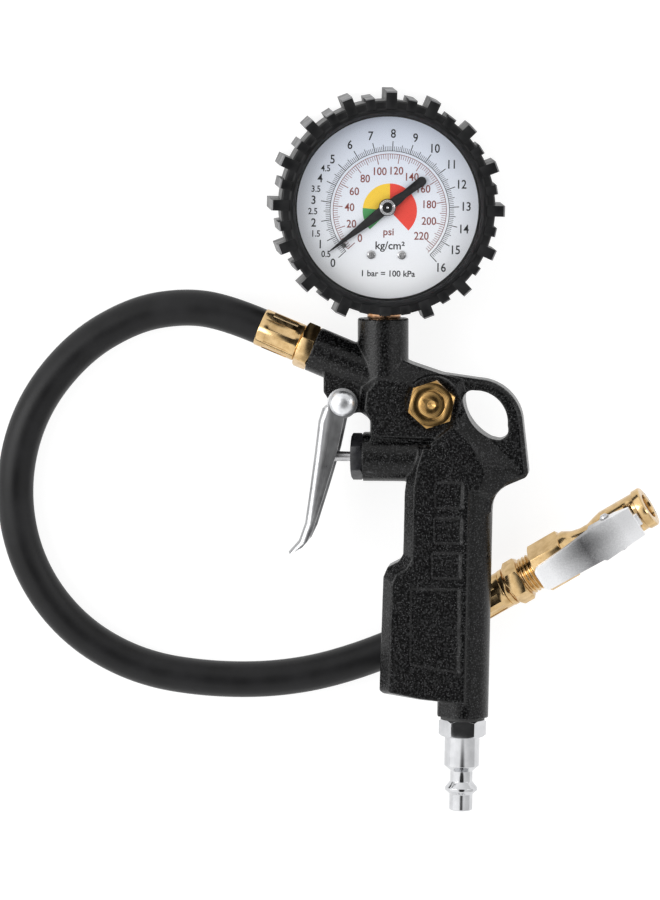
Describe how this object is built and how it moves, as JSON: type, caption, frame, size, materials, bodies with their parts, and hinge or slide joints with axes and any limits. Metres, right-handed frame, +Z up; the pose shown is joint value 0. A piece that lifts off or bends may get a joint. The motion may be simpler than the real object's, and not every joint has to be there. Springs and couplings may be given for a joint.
{
  "type": "tyre inflator with gauge",
  "caption": "Hand tyre inflator lying flat: cast pistol-grip body with lever trigger, rubber-booted dial gauge, short hose and clip-on chuck.",
  "frame": {"origin": "bottom centre of the gun as it lies on a table, without the hose and the chuck", "axes": "+Z up from the table, +Y along the gun towards the gauge, +X towards the hang loop"},
  "size_m": [0.2192, 0.2389, 0.0359],
  "materials": {
    "powder_coat": "black fine-speckle powder coat",
    "black_steel": "semi-gloss black coated steel",
    "boot_rubber": "satin black moulded rubber",
    "hose_rubber": "satin black rubber",
    "seal_rubber": "matte nitrile",
    "brass": "turned brass",
    "copper_alloy": "turned red brass",
    "chrome": "bright plated steel",
    "steel": "plain steel",
    "case_black": "black painted steel",
    "dial_white": "matte white with printed scales",
    "pointer_black": "matte black",
    "window_clear": "clear polished plastic"
  },
  "bodies": {
    "gun": {"body": "powder_coat", "valve_nut": "black_steel", "stem_oring": "seal_rubber", "valve_seat": "brass", "valve_spring": "steel", "trigger_pin": "chrome", "pin_clip": "steel", "gallery_plug": "brass", "plug_washer": "copper_alloy", "inlet_plug": "chrome", "inlet_washer": "seal_rubber", "hose_nipple": "brass", "gun_ferrule": "brass", "hose": "hose_rubber", "chuck_ferrule": "brass", "chuck_stem": "brass", "chuck_body": "brass", "chuck_seal": "seal_rubber", "depressor_spring": "steel", "clip_pin": "steel", "clip_spring": "steel", "gauge_socket": "copper_alloy", "gauge_case": "case_black", "gauge_boot": "boot_rubber", "case_screws": "steel", "window_gasket": "seal_rubber", "window_spacer": "pointer_black", "gauge_window": "window_clear", "dial": "dial_white", "dial_screws": "steel", "stop_pin": "steel", "hairspring": "copper_alloy", "back_plate": "brass", "front_plate": "brass", "pillars": "brass", "movement_screws": "steel", "bourdon_tube": "copper_alloy"},
    "trigger": {"trigger": "chrome"},
    "plunger": {"plunger": "steel", "poppet_seal": "seal_rubber"},
    "sector": {"sector": "brass"},
    "pointer": {"pointer": "pointer_black", "pointer_cap": "chrome", "pinion": "brass"},
    "tube_tip": {"bourdon_tip": "brass", "link": "brass", "link_pin": "steel"},
    "clip_lever": {"clip_lever": "chrome"},
    "depressor": {"depressor": "brass"}
  },
  "joints": [
    {"name": "trigger_swing", "type": "hinge", "parent": "gun", "child": "trigger", "pos_m": [-0.01503, 0.01643, 0.01648], "axis": [-0.1392, 0.038, 0.9895], "range_deg": [0, 12]},
    {"name": "plunger_slide", "type": "slide", "parent": "gun", "child": "plunger", "axis": [0.9903, 0.0053, 0.1391], "range_m": [0, 0.0038], "stiffness_N_per_m": 900, "springref_m": -0.004, "deforming": ["valve_spring"]},
    {"name": "sector_swing", "type": "hinge", "parent": "gun", "child": "sector", "pos_m": [-0.01073, 0.06552, 0.01638], "axis": [0, 0.0384, 0.9993], "range_deg": [0, 24.05]},
    {"name": "pointer_turn", "type": "hinge", "parent": "gun", "child": "pointer", "pos_m": [-0.00146, 0.08094, 0.01579], "axis": [0, 0.0384, 0.9993], "range_deg": [-264.6, 0]},
    {"name": "tip_flex", "type": "slide", "parent": "gun", "child": "tube_tip", "axis": [0.8746, 0.4845, -0.0186], "range_m": [0, 0.00229], "stiffness_N_per_m": 300, "springref_m": -0.0005, "deforming": ["bourdon_tube"]},
    {"name": "clip_swing", "type": "hinge", "parent": "gun", "child": "clip_lever", "pos_m": [0.07347, -0.02628, 0.0263], "axis": [0.5468, -0.8336, -0.0784], "range_deg": [0, 6], "stiffness_Nm_per_rad": 0.12, "springref_deg": -17.19, "deforming": ["clip_spring"]},
    {"name": "depressor_slide", "type": "slide", "parent": "gun", "child": "depressor", "axis": [-0.8265, -0.5225, -0.2096], "range_m": [0, 0.0025], "stiffness_N_per_m": 300, "springref_m": -0.001, "deforming": ["depressor_spring"]}
  ],
  "couplings": [
    {"joint": "trigger_swing", "follows": "plunger_slide", "rad_per_m": 54.945},
    {"joint": "sector_swing", "follows": "tip_flex", "rad_per_m": 183.16},
    {"joint": "pointer_turn", "follows": "tip_flex", "rad_per_m": -2014.8}
  ]
}
